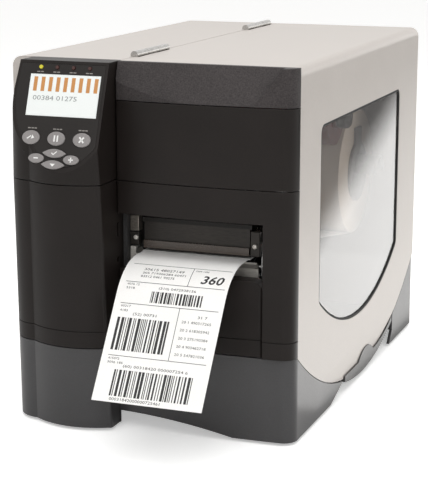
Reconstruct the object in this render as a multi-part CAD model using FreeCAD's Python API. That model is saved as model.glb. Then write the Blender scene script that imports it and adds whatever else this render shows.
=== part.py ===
import FreeCAD, Part
import math
import os

V = FreeCAD.Vector

# Desktop thermal label printer, millimetres, +Z up, label leaving towards -Y.
# While modelling, y = 0 is the nominal front of the media door; the finished
# pieces are moved so that the origin is the bottom centre of the whole printer.

# Case
case_width = 278.0
case_depth = 433.0
case_height = 338.0
column_width = 109.0
sheet = 1.6
wall = 3.0
seam = 0.8
slip = 0.3

# Base tray
foot_height = 3.0
foot_radius = 11.0
foot_boss = 2.0
foot_inset_x = 29.0
foot_inset_y = 40.0
base_top = 80.0
base_corner = 6.0
pan_level = 16.0
sill_height = 39.0
sill_inset = 10.0
front_arch_rise = 12.0
front_arch_end = 82.0
side_arch_rise = 16.0
side_arch_front = 104.0
side_arch_front_run = 56.0
side_arch_rear = 333.0
side_arch_rear_run = 14.0

# Lower edge of the metal covers: one large arc seen from the side
smile_radius = 348.5
smile_low = 10.0
smile_centre_y = 217.0
cover_corner = 9.0
crease_level = 38.0
crease_lean = 3.5
cover_flange = 12.0
column_flange = 26.0
flange_rear = 8.0

# Control column
column_front_foot = 20.0
column_front_seam = 38.0
column_front_top = 53.6
column_outer_foot = 134.0
column_outer_seam = 127.0
column_outer_top = 117.0
column_bow = 9.0
column_drop = 3.0
column_corner = 26.0
column_edge = 3.0
column_back = 12.0
column_return = 20.0
control_height = 106.0
band_top = 96.0
groove = 0.8
slot_width = 5.0
slot_height = 14.0
slot_level = 186.0
sensor_hole = 3.0
sensor_level = 158.0

# Control panel, measured down its slope from the top edge
panel_top_front = 14.0
panel_lean = 20.2
overlay_depth = 1.0
overlay_rim = 2.6
overlay_top = 3.0
display_width = 68.7
display_height = 37.8
display_middle_x = -70.6
display_middle = 31.4
lamp_radius = 1.8
lamp_down = 6.1
lamp_first_x = -95.6
lamp_pitch = 15.9
button_travel = 0.8
button_proud = 1.2
button_clear = 0.25
button_rim = 0.6
button_lip = 0.8
round_button_width = 17.0
round_button_height = 12.6
round_button_down = 70.3
round_button_pitch = 24.8
key_middle_x = -71.3
side_key_width = 15.0
side_key_height = 8.4
side_key_down = 88.6
side_key_offset = 17.0
lens_key_width = 23.0
lens_key_height = 8.0
lens_key_offset = 5.1
lens_tip = 1.3
post_radius = 2.2
post_upper = 57.0
post_lower = 80.5
board = 1.6
key_spare = 0.1

# Media door
door_front_edge = 4.0
door_bow = 6.0
door_drop = -3.5
door_corner = 13.0
door_edge = 2.0
door_front_back = 8.0
visor_seam = 304.0
visor_lean = 20.0
visor_facet_low = 38.0
visor_facet_high = 9.0
exit_top = 202.0
exit_right = 111.0
window_front = 70.0
window_rear = 356.0
window_top = 280.0
window_low = 70.0
window_radius = 255.9
window_middle_y = 215.0
window_corner = 9.0
window_plate = 2.4
window_lap = 8.0
clip_width = 12.0
clip_depth = 9.0
grip_front = 164.0
grip_rear = 344.0
grip_depth = 8.0
grip_low = 5.0
grip_shoulder = 17.0
grip_hump = 27.0
grip_end = 33.0
grip_lip = 6.0
grip_bell = 28.0

# Door hinges
hinge_rise = 1.6
hinge_radius = 3.6
hinge_pin = 1.6
hinge_fit = 0.06
hinge_leaf = 14.0
hinge_leaf_thick = 1.4
hinge_front_y = 40.0
hinge_rear_y = 340.0
hinge_length = 76.0
hinge_gap = 0.3

# Frame and rear
frame_thick = 4.0
frame_front = 10.5
frame_drop = 6.0
frame_flange = 16.0
rear_recess = 4.0
rear_thick = 2.0
rear_lip = 2.0

# Lower front cover
lower_cover_top = 150.0
lower_cover_right = 109.8
lower_cover_front = 1.0
lower_cover_bow = 4.5
lower_cover_drop = -3.0
lower_cover_corner = 12.0
lower_cover_back = 10.0

# Label, web and roll
label_width = 102.0
label_gap = 11.8
paper = 0.3
label_flat_end = 5.0
label_start = 20.0
label_bend = 54.6
label_hang = 55.5
label_straight = 100.6
roll_radius = 67.0
roll_y = 358.0
roll_z = 188.0
core_radius = 19.0
core_wall = 2.3
liner_side = 1.5
web_entry_y = 118.0
web_entry_z = 158.0
hanger_gap = 0.4
hanger_length = 142.0
guide_radius = 32.0
guide_thick = 3.0

# Print mechanism
platen_y = 36.0
platen_z = 153.0
platen_radius = 9.6
shaft_radius = 4.0
running_fit = 0.06
bush_wall = 4.0
bush_flange = 1.5
mech_floor = 124.0
mech_wall = 4.0
mech_front = 20.0
mech_rear = 112.0
mech_width = 129.8
head_gap = 0.5
head_pivot_y = 100.0
head_pivot_z = 190.0
head_depth = 38.0
head_top = 190.0
head_plate = 4.0
strip_thick = 2.5
strip_height = 7.0
strip_drop = 2.5
lever_y = 62.0
lever_z = 213.0
lever_radius = 5.0
lever_reach = 44.0
lever_width = 12.0
sensor_width = 30.0
sensor_depth = 20.0

# Ribbon spindles
supply_y = 280.0
supply_z = 258.0
supply_radius = 30.0
takeup_y = 130.0
takeup_z = 252.0
takeup_radius = 22.0
spindle_radius = 12.0
spindle_pin = 6.0
spindle_flange = 20.0
spindle_flange_thick = 3.0
spindle_reach = 130.0
ribbon_width = 104.0
ribbon_gap = 10.8
ribbon_core = 1.5

# Drive, on the electronics side of the frame
motor_y = 92.0
motor_z = 112.0
motor_size = 56.0
motor_length = 42.0
motor_post = 5.0
motor_post_radius = 4.0
motor_shaft = 3.0
pulley_width = 12.0
pulley_gap = 8.0
tooth_pitch = 4.0
motor_teeth = 16
platen_teeth = 32
tooth_radius = 0.9
belt_width = 10.0
belt_thick = 1.5
belt_gap = 0.4

# Electronics and rear connectors
board_front = 180.0
board_rear = 410.0
board_low = 60.0
board_drop = 32.0
supply_box_width = 70.0
supply_box_depth = 116.0
supply_box_height = 66.0
inlet_inset = 27.0
inlet_z = 112.0
inlet_width = 30.0
inlet_height = 24.0
inlet_depth = 28.0
inlet_wall = 3.5
inlet_flange = 4.0
inlet_flange_thick = 2.5
inlet_pin_width = 2.0
inlet_pin_height = 4.0
inlet_pin_pitch = 7.0
inlet_pin_length = 9.0
inlet_pin_step = 1.5
inlet_socket = 18.0
switch_z = 150.0
switch_width = 16.0
switch_height = 24.0
switch_wall = 2.0
switch_depth = 16.0
switch_rise = 4.4
switch_body = 4.0
switch_end_gap = 1.0
switch_pin = 1.5
switch_tilt = 8.0
port_inset = 32.2
port_flange = 1.2
socket_wall = 1.3
parallel_width = 52.0
parallel_height = 12.0
parallel_z = 112.0
serial_width = 24.0
serial_height = 10.0
serial_z = 146.0
usb_width = 12.0
usb_height = 11.0
usb_z = 172.0
port_depth = 12.0
slot_cover_z = 205.0
slot_cover_width = 90.0
slot_cover_height = 26.0
slot_cover_thick = 1.2
screw_head = 3.2
screw_rise = 1.6
vent_width = 3.2
vent_length = 34.0
vent_pitch = 9.0
vent_count = 14

# Values that follow from the sizes above
half_width = case_width / 2.0
split_x = column_width - half_width
column_right = split_x - seam / 2.0
door_left = split_x + seam / 2.0
pan_top = pan_level + wall
smile_centre_z = smile_low + smile_radius
top_under = case_height - sheet
side_inner = half_width - sheet
hinge_z = case_height + hinge_rise
frame_left = column_right + slip * 2.0
frame_right = frame_left + frame_thick
frame_top = case_height - frame_drop
control_seam = case_height - control_height
board_high = frame_top - board_drop
mech_right = frame_right + mech_width
label_left = frame_right + label_gap
ribbon_left = frame_right + ribbon_gap
port_x = frame_left - port_inset
inlet_x = inlet_inset - half_width
rear_outer = case_depth - rear_recess
rear_inner = rear_outer - rear_thick
switch_pivot_y = rear_outer - 2.0 * switch_wall
label_right = label_left + label_width
print_level = platen_z + platen_radius + slip + paper / 2.0
lean = math.radians(panel_lean)
panel_across = V(1, 0, 0)
panel_down = V(0, -math.sin(lean), -math.cos(lean))
panel_out = V(0, -math.cos(lean), math.sin(lean))
board_gap = slip + button_lip + button_travel + key_spare
board_top = overlay_depth + wall + board_gap
motor_pulley_radius = motor_teeth * tooth_pitch / (2.0 * math.pi)
platen_pulley_radius = platen_teeth * tooth_pitch / (2.0 * math.pi)
motor_left = frame_left - motor_post - motor_length
pulley_right = motor_left - pulley_gap
pulley_left = pulley_right - pulley_width
far = 600.0


def box(x0, x1, y0, y1, z0, z1):
    return Part.makeBox(x1 - x0, y1 - y0, z1 - z0, V(x0, y0, z0))


def rod_x(x0, x1, y, z, radius):
    return Part.makeCylinder(radius, x1 - x0, V(x0, y, z), V(1, 0, 0))


def rod_y(y0, y1, x, z, radius):
    return Part.makeCylinder(radius, y1 - y0, V(x, y0, z), V(0, 1, 0))


def rod_z(z0, z1, x, y, radius):
    return Part.makeCylinder(radius, z1 - z0, V(x, y, z0), V(0, 0, 1))


def polygon(points):
    return Part.Face(Part.makePolygon(points + [points[0]]))


def prism_x(points, x0, x1):
    return polygon([V(x0, y, z) for y, z in points]).extrude(V(x1 - x0, 0, 0))


def prism_y(points, y0, y1):
    return polygon([V(x, y0, z) for x, z in points]).extrude(V(0, y1 - y0, 0))


def single(shape):
    solids = shape.Solids
    return solids[0] if len(solids) == 1 else shape


def fused(shapes):
    return single(shapes[0].multiFuse(shapes[1:]).removeSplitter())


def trimmed(shape, tools):
    return single(shape.cut(Part.makeCompound(tools)) if len(tools) > 1 else shape.cut(tools[0]))


def mirrored(shape):
    return shape.mirror(V(0, 0, 0), V(1, 0, 0))


def round_edges(shape, radius, direction, keep=lambda middle: True):
    edges = []
    for edge in shape.Edges:
        if not isinstance(edge.Curve, Part.Line):
            continue
        along = abs(edge.tangentAt(edge.FirstParameter).dot(direction)) > 0.999
        if along and keep(edge.CenterOfMass):
            edges.append(edge)
    return single(shape.makeFillet(radius, edges))


def corner_arc(start, corner, end):
    radius = start.distanceToPoint(corner)
    centre = start + end - corner
    middle = centre + (corner - centre).normalize() * radius
    return Part.Arc(start, middle, end).toShape()


def bow_wire(side, inner, outer, front, bow, drop, corner, edge, back, inset, z):
    """Plan outline of a front moulding: bowed face, round outer corner, open back edge."""
    x_in = inner + side * inset
    x_out = outer - side * inset
    y = -front + inset
    small = max(edge - inset, slip)
    large = max(corner - inset, slip)
    start = V(x_in + side * small, y, z)
    turn = V(x_out - side * large, y + drop, z)
    crown = V((start.x + turn.x) / 2.0, y - bow, z)
    edge_end = V(x_in, y + small, z)
    corner_end = V(x_out, y + drop + large, z)
    edges = [
        Part.makeLine(V(x_in, back, z), edge_end),
        corner_arc(edge_end, V(x_in, y, z), start),
        Part.Arc(start, crown, turn).toShape(),
        corner_arc(turn, V(x_out, y + drop, z), corner_end),
        Part.makeLine(corner_end, V(x_out, back, z)),
        Part.makeLine(V(x_out, back, z), V(x_in, back, z)),
    ]
    return Part.Wire(edges)


def mix(a, b, share):
    return a + (b - a) * share


def column_wire(z, inset, back):
    if z <= control_seam:
        share = z / control_seam
        front = mix(column_front_foot, column_front_seam, share)
        outer = mix(column_outer_foot, column_outer_seam, share)
    else:
        share = (z - control_seam) / (case_height - control_seam)
        front = mix(column_front_seam, column_front_top, share)
        outer = mix(column_outer_seam, column_outer_top, share)
    return bow_wire(-1, column_right, -outer, front, column_bow, column_drop, column_corner,
                    column_edge, back, inset, z)


def column_solid(inset, z0, z1, back):
    return Part.makeLoft([column_wire(z0, inset, back), column_wire(z1, inset, back)], True, True)


def door_solid(inset, z0, z1):
    wire = bow_wire(1, door_left, half_width, door_front_edge, door_bow, door_drop,
                    door_corner, door_edge, door_front_back, inset, z0)
    return Part.Face(wire).extrude(V(0, 0, z1 - z0))


def smile(grow):
    return rod_x(-far, far, smile_centre_y, smile_centre_z, smile_radius + grow)


# Base tray, feet


def base_form(inset, z0, z1):
    body = box(inset - half_width, half_width - inset, column_back + inset, case_depth - inset, z0, z1)
    body = round_edges(body, base_corner, V(0, 0, 1))
    foot = column_solid(inset, z0, z1, column_back + 4.0 * wall)
    front = bow_wire(1, split_x - 4.0 * wall, half_width, lower_cover_front, lower_cover_bow,
                     lower_cover_drop, door_corner, door_edge, column_back + 4.0 * wall, inset, z0)
    return fused([body, foot, Part.Face(front).extrude(V(0, 0, z1 - z0))])


def foot_places():
    x = half_width - foot_inset_x
    return [(s * x, y) for s in (-1, 1) for y in (foot_inset_y, case_depth - foot_inset_y)]


def make_base_tray():
    outer = base_form(0.0, foot_height, base_top)
    inner = base_form(wall, foot_height, base_top)
    pan = inner.common(box(-far, far, -far, far, pan_level, pan_top))
    bosses = [rod_z(foot_height, pan_level, x, y, foot_radius + foot_boss) for x, y in foot_places()]
    sill_out = half_width - sill_inset
    sill = box(sill_out - wall, sill_out, foot_inset_y, case_depth - foot_inset_y, pan_level,
               pan_top + sill_height)
    tray = fused([trimmed(outer, [inner]), pan, sill, mirrored(sill)] + bosses)
    side_zone = box(half_width - sill_inset + slip, far, -far, far, -far, far)
    side_cut = fused([smile(seam), side_arch()]).common(side_zone)
    return trimmed(tray, [side_cut, mirrored(side_cut), front_arch()])


def side_arch():
    front = side_arch_front + side_arch_front_run
    rear = side_arch_rear + side_arch_rear_run
    points = [(side_arch_front, 0.0), (front, side_arch_rise), (front, base_top), (rear, base_top),
              (rear, side_arch_rise), (side_arch_rear, 0.0)]
    return prism_x(points, -far, far)


def front_arch():
    left = split_x
    top = foot_height + front_arch_rise
    crown = V(mix(left, front_arch_end, 0.5), -far, foot_height + front_arch_rise * 0.76)
    edges = [
        Part.makeLine(V(left, -far, 0), V(left, -far, top)),
        Part.Arc(V(left, -far, top), crown, V(front_arch_end, -far, foot_height)).toShape(),
        Part.makeLine(V(front_arch_end, -far, foot_height), V(front_arch_end, -far, 0)),
        Part.makeLine(V(front_arch_end, -far, 0), V(left, -far, 0)),
    ]
    return Part.Face(Part.Wire(edges)).extrude(V(0, far + column_back + wall, 0))


def make_rubber_feet():
    feet = []
    for x, y in foot_places():
        pad = rod_z(0.0, foot_height, x, y, foot_radius)
        rim = [e for e in pad.Edges if isinstance(e.Curve, Part.Circle) and e.CenterOfMass.z < slip]
        feet.append(pad.makeFillet(foot_height / 3.0, rim))
    return Part.makeCompound(feet)


# Control column


def band_groove(outer, inner):
    slab = box(-far, far, -far, far, band_top, band_top + groove)
    return outer.cut(inner).common(slab)


def make_column_cover():
    z0 = base_top + seam
    z1 = control_seam
    outer = column_solid(0.0, z0, z1, column_back)
    inner = column_solid(wall, z0 - slip, z1 + slip, column_back)
    inner = fused([inner, box(-far, column_right - wall, column_back - wall, far, 0, far)])
    side = box(column_right - wall, column_right, column_back, column_return, z0, z1)
    cover = fused([trimmed(outer, [inner]), side])
    slot_y = 0.0
    straight = (slot_height - slot_width) / 2.0
    ends = [rod_x(-far, far, slot_y, slot_level + s * straight, slot_width / 2.0) for s in (-1, 1)]
    slot = ends + [box(-far, far, slot_y - slot_width / 2.0, slot_y + slot_width / 2.0,
                       slot_level - straight, slot_level + straight)]
    right_zone = box(column_right - 2.0 * wall, far, -far, far, 0, far)
    window = fused(slot + [rod_x(-far, far, slot_y, sensor_level, sensor_hole)]).common(right_zone)
    lines = band_groove(column_solid(-slip, z0, z1, column_back + far), column_solid(groove, z0, z1, far))
    return trimmed(cover, [window, lines])


def panel_point(x, down, out):
    return V(x, -panel_top_front, case_height) + panel_down * down + panel_out * out


def panel_slab(x0, x1, down0, down1, out0, out1):
    corners = [panel_point(x0, down0, out0), panel_point(x1, down0, out0),
               panel_point(x1, down1, out0), panel_point(x0, down1, out0)]
    return polygon(corners).extrude(panel_out * (out1 - out0))


def before_panel(out):
    return panel_slab(-far, far, -far, far, out, far)


def make_control_housing():
    z0 = control_seam + seam
    outer = trimmed(column_solid(0.0, z0, case_height, column_back), [before_panel(0.0)])
    inner = column_solid(wall, z0 - slip, case_height - wall, column_back + slip)
    inner = trimmed(inner, [before_panel(-overlay_depth - wall)])
    housing = trimmed(outer, [inner])
    posts = []
    for x in (display_middle_x - display_width / 2.0 + post_radius, column_right - 3.0 * wall):
        for down in (post_upper, post_lower):
            foot = panel_point(x, down, -board_top)
            posts.append(Part.makeCylinder(post_radius, board_gap + slip, foot, panel_out))
    housing = fused([housing] + posts)
    reliefs = []
    for x, down, shape in button_forms(button_rim + button_clear):
        reliefs.append(shape.extrude(panel_out * -board_gap))
        reliefs[-1].translate(panel_out * -(overlay_depth + wall))
    cuts = [overlay_form(overlay_rim - slip / 2.0)] + panel_holes(button_clear) + reliefs
    return trimmed(housing, cuts)


def overlay_form(rim):
    plate = panel_slab(-far, far, overlay_top + rim - overlay_rim, far, -overlay_depth, 0.0)
    return column_solid(rim, control_seam + seam, case_height, column_back).common(plate)


def panel_holes(clear):
    depth = far / 40.0
    holes = []
    for x, down, shape in button_forms(clear):
        holes.append(shape.extrude(panel_out * depth * 2.0))
        holes[-1].translate(panel_out * -depth)
    for x in lamp_places():
        holes.append(Part.makeCylinder(lamp_radius + clear, depth * 2.0,
                                       panel_point(x, lamp_down, -depth), panel_out))
    half_w = display_width / 2.0 + clear
    half_h = display_height / 2.0 + clear
    holes.append(panel_slab(display_middle_x - half_w, display_middle_x + half_w,
                            display_middle - half_h, display_middle + half_h, -depth, depth))
    return holes


def make_keypad_overlay():
    return trimmed(overlay_form(overlay_rim), panel_holes(button_clear))


def make_display():
    half_w = display_width / 2.0
    half_h = display_height / 2.0
    return panel_slab(display_middle_x - half_w, display_middle_x + half_w,
                      display_middle - half_h, display_middle + half_h, -board_top, -slip)


def lamp_places():
    return [lamp_first_x + lamp_pitch * i for i in range(4)]


def make_status_lamps():
    lamps = []
    for x in lamp_places():
        stem = Part.makeCylinder(lamp_radius, board_top, panel_point(x, lamp_down, -board_top), panel_out)
        dome = Part.makeSphere(lamp_radius, panel_point(x, lamp_down, 0.0))
        lamps.append(fused([stem, dome.common(panel_slab(-far, far, -far, far, -slip, lamp_radius / 2.0))]))
    return Part.makeCompound(lamps)


def make_control_board():
    left = display_middle_x - display_width / 2.0
    right = column_right - 1.6 * wall
    low = side_key_down + lens_key_offset
    plate = panel_slab(left, right, overlay_top, low, -board_top - board, -board_top)
    chip = panel_slab(left + 6.0 * wall, left + 10.0 * wall, low / 2.0, low / 2.0 + 4.0 * wall,
                      -board_top - 2.0 * board, -board_top - board)
    inside = column_solid(wall + 2.0 * slip, control_seam + seam, case_height, column_back)
    return fused([plate, chip]).common(inside).Solids[0]


def oval_face(x, down, width, height, grow):
    half_w = width / 2.0 + grow
    half_h = height / 2.0 + grow
    centre = panel_point(x, down, 0.0)
    ellipse = Part.Ellipse(centre + panel_across * half_w, centre + panel_down * half_h, centre)
    return Part.Face(Part.Wire(ellipse.toShape()))


def lens_face(x, down, width, height, grow):
    half_w = width / 2.0 + grow * lens_tip
    half_h = height / 2.0 + grow
    left = panel_point(x - half_w, down, 0.0)
    right = panel_point(x + half_w, down, 0.0)
    upper = Part.Arc(left, panel_point(x, down - half_h, 0.0), right).toShape()
    lower = Part.Arc(right, panel_point(x, down + half_h, 0.0), left).toShape()
    return Part.Face(Part.Wire([upper, lower]))


def button_forms(grow):
    forms = []
    for i in (-1, 0, 1):
        x = key_middle_x + i * round_button_pitch
        forms.append((x, round_button_down,
                      oval_face(x, round_button_down, round_button_width, round_button_height, grow)))
    for s in (-1, 1):
        x = key_middle_x + s * side_key_offset
        forms.append((x, side_key_down, oval_face(x, side_key_down, side_key_width, side_key_height, grow)))
    for s in (-1, 1):
        down = side_key_down + s * lens_key_offset
        forms.append((key_middle_x, down,
                      lens_face(key_middle_x, down, lens_key_width, lens_key_height, grow)))
    return forms


button_names = ["feed_button", "pause_button", "cancel_button", "minus_button", "plus_button",
                "select_button", "setup_button"]


def make_buttons():
    under = overlay_depth + wall + slip
    buttons = {}
    for name, cap, lip in zip(button_names, button_forms(0.0), button_forms(button_rim)):
        stem = cap[2].extrude(panel_out * (under + button_proud))
        stem.translate(panel_out * -under)
        rim = [e for e in stem.Edges if (e.CenterOfMass - panel_point(0, 0, 0)).dot(panel_out)
               > button_proud - slip]
        stem = stem.makeFillet(button_proud / 2.0, rim)
        flange = lip[2].extrude(panel_out * button_lip)
        flange.translate(panel_out * -(under + button_lip))
        buttons[name] = fused([stem, flange])
    return buttons


# Metal covers and the media door


def cover_region(inset):
    """Cross-section of the right-hand cover, closed towards the inside of the case."""
    x_out = half_width - inset
    z_top = case_height - inset
    radius = max(cover_corner - inset, slip)
    left = door_left
    start = V(x_out - radius, 0, z_top)
    end = V(x_out, 0, z_top - radius)
    bend = V(x_out, 0, crease_level)
    toe = V(x_out - crease_lean, 0, 0)
    edges = [
        Part.makeLine(V(left, 0, z_top), start),
        corner_arc(start, V(x_out, 0, z_top), end),
        Part.makeLine(end, bend),
        Part.makeLine(bend, toe),
        Part.makeLine(toe, V(left, 0, 0)),
        Part.makeLine(V(left, 0, 0), V(left, 0, z_top)),
    ]
    return Part.Face(Part.Wire(edges))


def cover_slice(inset, y0, y1):
    slice_ = cover_region(inset).extrude(V(0, y1 - y0, 0))
    slice_.translate(V(0, y0, 0))
    return slice_


def folded_cover(front, front_flange):
    inner = trimmed(cover_slice(0.0, front, case_depth), [cover_slice(sheet, front, case_depth)])
    lips = []
    for depth, y0 in ((front_flange, front), (flange_rear, case_depth - sheet)):
        lips.append(trimmed(cover_slice(0.0, y0, y0 + sheet), [cover_slice(depth, y0, y0 + sheet)]))
    return fused([inner] + lips).common(smile(0.0))


def hinge_notch(side):
    reach = hinge_radius + seam
    notches = []
    for y in (hinge_front_y, hinge_rear_y):
        x0, x1 = sorted((split_x, split_x + side * reach))
        notches.append(box(x0, x1, y - slip, y + hinge_length + slip, top_under - wall, far))
    return notches


def window_form(grow):
    block = box(side_inner - window_plate, half_width, window_front - grow, window_rear + grow,
                window_low - grow, window_top + grow)
    arc = rod_x(0, far, window_middle_y, window_low + window_radius, window_radius + grow)
    return round_edges(block.common(arc), window_corner + grow, V(1, 0, 0))


def make_door_shell():
    shell = folded_cover(door_front_back, cover_flange)
    return trimmed(single(shell), [window_form(0.0)] + hinge_notch(1))


def make_door_window():
    plate = window_form(window_lap)
    return plate.common(box(side_inner - window_plate, side_inner, -far, far, -far, far))


def make_window_clips():
    clips = []
    span = window_top - window_low
    for y in (window_front - window_lap, window_rear + window_lap):
        inward = 1 if y < window_middle_y else -1
        for share in (0.45, 0.8):
            z = window_low + span * share
            y0, y1 = sorted((y - inward * clip_depth, y + inward * window_lap * 0.6))
            pad = box(side_inner - window_plate - sheet, side_inner - window_plate, y0, y1, z, z + clip_width)
            s0, s1 = sorted((y - inward * clip_depth, y - inward * slip))
            seat = box(side_inner - window_plate, side_inner, s0, s1, z, z + clip_width)
            clips.append(fused([pad, seat]))
    return Part.makeCompound(clips)


def electronics_vents():
    vents = []
    for row in (0, 1):
        z = crease_level * 2.0 + row * (vent_length + vent_pitch)
        for i in range(vent_count):
            y = case_depth / 2.0 + i * vent_pitch
            vents.append(box(-far, -side_inner + slip, y, y + vent_width, z, z + vent_length))
    return vents


def make_electronics_cover():
    cover = mirrored(folded_cover(column_back, column_flange))
    beyond = box(column_right, far, -far, far, 0, far)
    over_base = box(-side_inner, far, -far, column_back + sheet, 0, base_top + seam)
    return trimmed(cover, [beyond, over_base] + hinge_notch(-1) + electronics_vents())


def visor_cut(setback):
    """Sloping scoop in the visor that stops short of its right-hand corner."""
    slope = math.tan(math.radians(visor_lean))
    low = visor_seam
    high = case_height + wall
    y_low = -door_front_edge - door_bow + setback
    slab = prism_x([(y_low, low), (y_low + (high - low) * slope, high), (-far, high), (-far, low)], -far, far)
    face = prism_y([(-far, low), (half_width - visor_facet_low + setback, low),
                    (half_width - visor_facet_high + setback, high), (-far, high)], -far, far)
    return slab.common(face)


def make_door_visor():
    z0 = visor_seam + seam / 2.0
    outer = trimmed(door_solid(0.0, z0, case_height), [visor_cut(0.0)])
    inner = trimmed(door_solid(wall, z0, case_height - wall), [visor_cut(wall)])
    return trimmed(outer, [inner])


def make_door_front_panel():
    z0 = control_seam + seam / 2.0
    z1 = visor_seam - seam / 2.0
    return trimmed(door_solid(0.0, z0, z1), [door_solid(wall, z0, z1)])


def make_door_exit_frame():
    z0 = base_top + seam
    z1 = control_seam - seam / 2.0
    outer = door_solid(0.0, z0, z1)
    shell = trimmed(outer, [door_solid(wall, z0, z1)])
    lintel = box(-far, exit_right + wall, -far, far, exit_top, exit_top + wall).common(outer)
    jamb = box(exit_right, exit_right + wall, -far, far, z0, exit_top + wall).common(outer)
    frame = fused([shell, lintel, jamb])
    exit_gap = box(-far, exit_right, -far, far, 0, exit_top)
    line = band_groove(door_solid(-slip, z0, z1), door_solid(groove, z0, z1))
    return trimmed(frame, [exit_gap, line])


def make_door_grip():
    """Bell-shaped finger pull that laps the lower edge of the door."""
    x0 = half_width - grip_depth
    middle = mix(grip_front, grip_rear, 0.43)
    front = V(x0, grip_front, grip_shoulder)
    bell_front = V(x0, middle - grip_bell, grip_shoulder)
    bell_rear = V(x0, middle + grip_bell, grip_shoulder)
    bell_top = V(x0, middle, grip_hump)
    dip = V(x0, mix(bell_rear.y, grip_rear, 0.55), mix(grip_shoulder, grip_end, 0.3))
    rear = V(x0, grip_rear, grip_end)
    lip = V(0, 0, -grip_lip)
    edges = [
        Part.makeLine(front, bell_front),
        Part.Arc(bell_front, bell_top, bell_rear).toShape(),
        Part.Arc(bell_rear, dip, rear).toShape(),
        Part.makeLine(rear, rear + lip),
        Part.Arc(rear + lip, V(x0, middle, grip_low), front + lip).toShape(),
        Part.makeLine(front + lip, front),
    ]
    pull = Part.Face(Part.Wire(edges)).extrude(V(grip_depth, 0, 0))
    return trimmed(pull, [cover_slice(0.0, 0.0, case_depth).common(smile(0.0))])


def hinge_spans(y):
    third = (hinge_length - 2.0 * hinge_gap) / 3.0
    return [(y + i * (third + hinge_gap), y + i * (third + hinge_gap) + third) for i in range(3)]


def knuckle(y0, y1, side, thick):
    barrel = rod_y(y0, y1, split_x, hinge_z, hinge_radius)
    x0, x1 = sorted((split_x, split_x + side * hinge_leaf))
    leaf = box(x0, x1, y0, y1, top_under - thick, top_under)
    return trimmed(fused([barrel, leaf]), [rod_y(y0 - 1, y1 + 1, split_x, hinge_z, hinge_pin + hinge_fit)])


def make_hinge_body_leaves():
    thick = top_under - frame_top - 2.0
    leaves = []
    for y in (hinge_front_y, hinge_rear_y):
        spans = hinge_spans(y)
        leaves += [knuckle(spans[0][0], spans[0][1], -1, thick), knuckle(spans[2][0], spans[2][1], -1, thick)]
    pins = [rod_y(y, y + hinge_length, split_x, hinge_z, hinge_pin) for y in (hinge_front_y, hinge_rear_y)]
    return Part.makeCompound(leaves + pins)


def make_hinge_door_leaves():
    leaves = []
    for y in (hinge_front_y, hinge_rear_y):
        y0, y1 = hinge_spans(y)[1]
        leaves.append(knuckle(y0, y1, 1, hinge_leaf_thick))
    return Part.makeCompound(leaves)


# Centre frame, rear panel and lower front cover


def make_centre_frame():
    plate = box(frame_left, frame_right, frame_front, rear_inner, pan_top, frame_top)
    plate = round_edges(plate, cover_corner, V(1, 0, 0), lambda m: m.z > frame_top - slip and m.y < roll_y)
    flange = box(frame_left - frame_flange, frame_right, frame_front + cover_corner, rear_inner,
                 frame_top, frame_top + 2.0)
    holes = [rod_x(-far, far, platen_y, platen_z, shaft_radius + bush_wall + running_fit),
             rod_x(-far, far, supply_y, supply_z, spindle_pin + running_fit),
             rod_x(-far, far, takeup_y, takeup_z, spindle_pin + running_fit),
             rod_x(-far, far, lever_y, lever_z, lever_radius + running_fit)]
    return trimmed(fused([plate, flange]), holes)


def port_slab(x, z, width, height, y0, y1):
    return box(x - width / 2.0, x + width / 2.0, y0, y1, z - height / 2.0, z + height / 2.0)


def make_rear_panel():
    edge = side_inner - seam
    plate = box(-edge, edge, rear_inner, rear_outer, pan_top, top_under - seam)
    plate = round_edges(plate, cover_corner - sheet, V(0, 1, 0), lambda m: m.z > control_seam)
    through = (rear_inner - 1.0, rear_outer + 1.0)
    shoulder = half_width - wall - base_corner
    in_base = box(shoulder, far, -far, far, 0, base_top + seam)
    cuts = [in_base, mirrored(in_base), port_slab(inlet_x, inlet_z, inlet_width + slip, inlet_height + slip, *through),
            port_slab(inlet_x, switch_z, switch_width + 2.0 * switch_wall + slip,
                      switch_height + 2.0 * switch_wall + slip, *through),
            port_slab(port_x, parallel_z, parallel_width + slip, parallel_height + slip, *through),
            port_slab(port_x, serial_z, serial_width + slip, serial_height + slip, *through),
            port_slab(port_x, usb_z, usb_width + slip, usb_height + slip, *through)]
    return trimmed(plate, cuts)


def make_lower_front_cover():
    z0 = base_top + seam

    def form(inset, z1):
        wire = bow_wire(1, door_left, lower_cover_right, lower_cover_front, lower_cover_bow,
                        lower_cover_drop, door_edge * 2.0, door_edge, lower_cover_back, inset, z0)
        solid = Part.Face(wire).extrude(V(0, 0, z1 - z0))
        x1 = lower_cover_right - inset
        face = box(-far, x1, -far, far, 0, z1)
        rounded = round_edges(face, lower_cover_corner - inset, V(0, 1, 0),
                              lambda m: m.x > x1 - slip and m.z > z1 - slip)
        return solid.common(rounded)

    outer = form(0.0, lower_cover_top)
    line = band_groove(form(-slip, lower_cover_top), form(groove, lower_cover_top))
    return trimmed(outer, [form(wall, lower_cover_top - wall), line])


# Label, web and label roll


def strip_solid(points, x0, x1):
    """Thin strip along a path of (y, z) points, half the paper either side."""
    upper = []
    lower = []
    for i, (y, z) in enumerate(points):
        a = points[max(i - 1, 0)]
        b = points[min(i + 1, len(points) - 1)]
        length = math.hypot(b[0] - a[0], b[1] - a[1])
        ny = -(b[1] - a[1]) / length * paper / 2.0
        nz = (b[0] - a[0]) / length * paper / 2.0
        upper.append((y + ny, z + nz))
        lower.append((y - ny, z - nz))
    return prism_x(upper + lower[::-1], x0, x1)


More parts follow.
